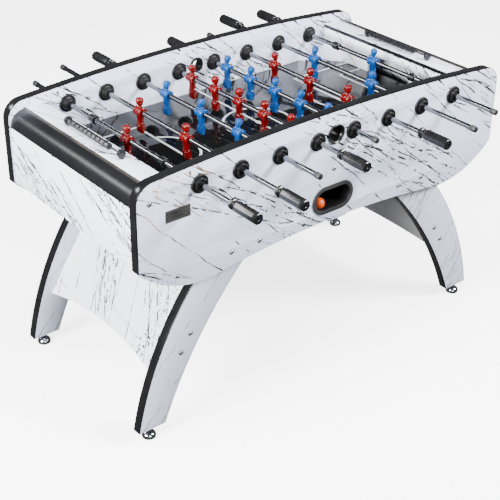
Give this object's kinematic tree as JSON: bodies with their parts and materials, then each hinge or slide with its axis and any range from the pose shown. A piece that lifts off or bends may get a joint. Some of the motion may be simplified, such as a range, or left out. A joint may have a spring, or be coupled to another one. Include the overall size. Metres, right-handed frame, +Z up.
{
  "type": "foosball table",
  "caption": "Foosball table: arched white cabinet on curved legs with a leg panel at each end, playing rods with men, bead scorers and a gravity ball return.",
  "frame": {"origin": "on the floor under the middle of the cabinet", "axes": "+X along the table towards the blue goalkeeper's end, +Y across it away from the ball return, +Z up"},
  "size_m": [1.4226, 1.285, 0.907],
  "materials": {
    "laminate": "white laminate with fine grey veins, satin",
    "edge_banding": "black edge banding, semi-gloss",
    "gloss_black": "black moulding, gloss",
    "black_plastic": "black moulded plastic, satin",
    "field": "black laminate with pale printed lines, gloss",
    "hardboard": "white-faced board, matt",
    "ball": "orange moulded ball, satin",
    "chrome": "bright chrome plate",
    "bead": "dark grey moulded plastic, gloss",
    "plate": "dark brushed plate, blank",
    "red_men": "red moulded plastic",
    "blue_men": "blue moulded plastic",
    "grip": "black moulded plastic, gloss"
  },
  "bodies": {
    "table": {"side_panel_front": "laminate", "side_panel_back": "laminate", "edge_bands": "edge_banding", "end_panel_left": "laminate", "end_panel_right": "laminate", "corner_caps": "gloss_black", "end_shelves": "laminate", "shelf_bands": "edge_banding", "goal_walls": "laminate", "playfield": "field", "corner_ramps": "laminate", "cabinet_floor": "hardboard", "ball_channels": "black_plastic", "ball_return_tray": "black_plastic", "ball_return_bezel": "black_plastic", "leg_front_left": "laminate", "leg_front_right": "laminate", "leg_back_left": "laminate", "leg_back_right": "laminate", "leg_bands": "edge_banding", "leg_panels": "laminate", "bearings_front": "black_plastic", "bearings_back": "black_plastic", "serve_cups": "black_plastic", "scorer_rails": "bead", "name_plate": "plate", "bolts": "chrome"},
    "ball": {"ball": "ball"},
    "leveler_front_left": {"leveler_front_left": "chrome"},
    "leveler_front_right": {"leveler_front_right": "chrome"},
    "leveler_back_left": {"leveler_back_left": "chrome"},
    "leveler_back_right": {"leveler_back_right": "chrome"},
    "score_beads_left": {"score_beads_left": "bead"},
    "lead_bead_left": {"lead_bead_left": "bead"},
    "score_beads_right": {"score_beads_right": "bead"},
    "lead_bead_right": {"lead_bead_right": "bead"},
    "rod_1": {"rod_1": "chrome"},
    "handle_1": {"men_1": "red_men", "grip_1": "grip"},
    "rod_2": {"rod_2": "chrome"},
    "handle_2": {"men_2": "red_men", "grip_2": "grip"},
    "rod_3": {"rod_3": "chrome"},
    "handle_3": {"men_3": "blue_men", "grip_3": "grip"},
    "rod_4": {"rod_4": "chrome"},
    "handle_4": {"men_4": "red_men", "grip_4": "grip"},
    "rod_5": {"rod_5": "chrome"},
    "handle_5": {"men_5": "blue_men", "grip_5": "grip"},
    "rod_6": {"rod_6": "chrome"},
    "handle_6": {"men_6": "red_men", "grip_6": "grip"},
    "rod_7": {"rod_7": "chrome"},
    "handle_7": {"men_7": "blue_men", "grip_7": "grip"},
    "rod_8": {"rod_8": "chrome"},
    "handle_8": {"men_8": "blue_men", "grip_8": "grip"}
  },
  "joints": [
    {"name": "push_pull_1", "type": "slide", "parent": "table", "child": "rod_1", "axis": [0, 1, 0], "range_m": [-0.105, 0.119]},
    {"name": "spin_1", "type": "hinge", "parent": "rod_1", "child": "handle_1", "pos_m": [-0.5005, 0, 0.8275], "axis": [0, 1, 0], "continuous": true},
    {"name": "push_pull_2", "type": "slide", "parent": "table", "child": "rod_2", "axis": [0, 1, 0], "range_m": [-0.167, 0.133]},
    {"name": "spin_2", "type": "hinge", "parent": "rod_2", "child": "handle_2", "pos_m": [-0.3575, 0, 0.8275], "axis": [0, 1, 0], "continuous": true},
    {"name": "push_pull_3", "type": "slide", "parent": "table", "child": "rod_3", "axis": [0, 1, 0], "range_m": [-0.119, 0.091]},
    {"name": "spin_3", "type": "hinge", "parent": "rod_3", "child": "handle_3", "pos_m": [-0.2145, 0, 0.8275], "axis": [0, 1, 0], "continuous": true},
    {"name": "push_pull_4", "type": "slide", "parent": "table", "child": "rod_4", "axis": [0, 1, 0], "range_m": [-0.049, 0.035]},
    {"name": "spin_4", "type": "hinge", "parent": "rod_4", "child": "handle_4", "pos_m": [-0.0715, 0, 0.8275], "axis": [0, 1, 0], "continuous": true},
    {"name": "push_pull_5", "type": "slide", "parent": "table", "child": "rod_5", "axis": [0, 1, 0], "range_m": [-0.046, 0.038]},
    {"name": "spin_5", "type": "hinge", "parent": "rod_5", "child": "handle_5", "pos_m": [0.0715, 0, 0.8275], "axis": [0, 1, 0], "continuous": true},
    {"name": "push_pull_6", "type": "slide", "parent": "table", "child": "rod_6", "axis": [0, 1, 0], "range_m": [-0.103, 0.107]},
    {"name": "spin_6", "type": "hinge", "parent": "rod_6", "child": "handle_6", "pos_m": [0.2145, 0, 0.8275], "axis": [0, 1, 0], "continuous": true},
    {"name": "push_pull_7", "type": "slide", "parent": "table", "child": "rod_7", "axis": [0, 1, 0], "range_m": [-0.148, 0.152]},
    {"name": "spin_7", "type": "hinge", "parent": "rod_7", "child": "handle_7", "pos_m": [0.3575, 0, 0.8275], "axis": [0, 1, 0], "continuous": true},
    {"name": "push_pull_8", "type": "slide", "parent": "table", "child": "rod_8", "axis": [0, 1, 0], "range_m": [-0.112, 0.112]},
    {"name": "spin_8", "type": "hinge", "parent": "rod_8", "child": "handle_8", "pos_m": [0.5005, 0, 0.8275], "axis": [0, 1, 0], "continuous": true},
    {"name": "screw_leveler_front_left", "type": "slide", "parent": "table", "child": "leveler_front_left", "axis": [0, 0, -1], "range_m": [0, 0.012]},
    {"name": "screw_leveler_front_right", "type": "slide", "parent": "table", "child": "leveler_front_right", "axis": [0, 0, -1], "range_m": [0, 0.012]},
    {"name": "screw_leveler_back_left", "type": "slide", "parent": "table", "child": "leveler_back_left", "axis": [0, 0, -1], "range_m": [0, 0.012]},
    {"name": "screw_leveler_back_right", "type": "slide", "parent": "table", "child": "leveler_back_right", "axis": [0, 0, -1], "range_m": [0, 0.012]},
    {"name": "take_ball", "type": "slide", "parent": "table", "child": "ball", "axis": [0, -1, 0], "range_m": [0, 0.06]},
    {"name": "score_stack_left", "type": "slide", "parent": "table", "child": "score_beads_left", "axis": [0, -1, 0], "range_m": [0, 0.025]},
    {"name": "score_lead_left", "type": "slide", "parent": "score_beads_left", "child": "lead_bead_left", "axis": [0, -1, 0], "range_m": [0, 0.025]},
    {"name": "score_stack_right", "type": "slide", "parent": "table", "child": "score_beads_right", "axis": [0, -1, 0], "range_m": [0, 0.025]},
    {"name": "score_lead_right", "type": "slide", "parent": "score_beads_right", "child": "lead_bead_right", "axis": [0, -1, 0], "range_m": [0, 0.025]}
  ]
}
